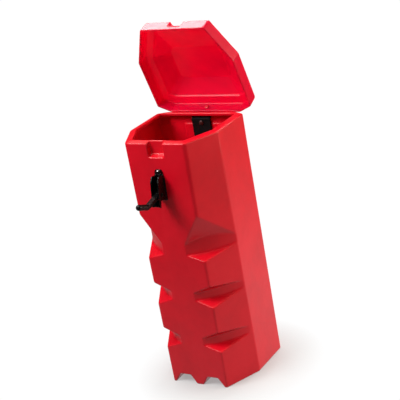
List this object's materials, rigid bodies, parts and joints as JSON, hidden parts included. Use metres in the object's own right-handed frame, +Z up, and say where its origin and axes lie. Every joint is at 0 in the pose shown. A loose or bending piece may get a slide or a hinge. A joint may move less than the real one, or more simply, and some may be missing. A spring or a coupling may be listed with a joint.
{
  "type": "vehicle fire extinguisher box",
  "caption": "Tall moulded box with a hinged cap lid, a strap hinge and a rubber pull latch, to hold a portable fire extinguisher upright on a vehicle.",
  "frame": {"origin": "centre of the base underside", "axes": "+Z up, front face (latch side) towards -Y, hinge side towards +Y, +X to the right seen from the front"},
  "size_m": [0.2452, 0.3589, 0.7999],
  "materials": {
    "shell_red": "satin rotationally moulded polyethylene",
    "hinge_rubber": "matt reinforced rubber sheet",
    "latch_rubber": "moulded rubber, slight sheen",
    "bracket_black": "moulded black nylon",
    "rivet_alloy": "satin rivet alloy",
    "rivet_red": "rivet head painted to match",
    "fastener_steel": "zinc plated steel",
    "fastener_black": "black plated steel"
  },
  "bodies": {
    "container": {"body_shell": "shell_red", "hinge_strap_lower": "hinge_rubber", "hinge_rivets_body": "fastener_black", "hinge_washers_body": "rivet_alloy", "latch_bracket": "bracket_black", "latch_pin": "fastener_black", "latch_pin_clips": "fastener_black", "latch_screws": "fastener_black", "latch_backing_plate": "fastener_steel", "latch_washers": "fastener_steel", "latch_nuts": "fastener_steel"},
    "lid": {"lid_shell": "shell_red", "hinge_strap_upper": "hinge_rubber", "hinge_rivet_lid": "rivet_red", "hinge_washer_lid": "rivet_alloy"},
    "latch": {"latch_strap": "latch_rubber"}
  },
  "joints": [
    {"name": "lid_fold", "type": "hinge", "parent": "container", "child": "lid", "pos_m": [0, 0.1299, 0.5632], "axis": [1, 0, 0], "range_deg": [-40, 70]},
    {"name": "latch_swing", "type": "hinge", "parent": "container", "child": "latch", "pos_m": [0, -0.122, 0.474], "axis": [-1, 0, 0], "range_deg": [-4, 82], "stiffness_Nm_per_rad": 0.25}
  ]
}
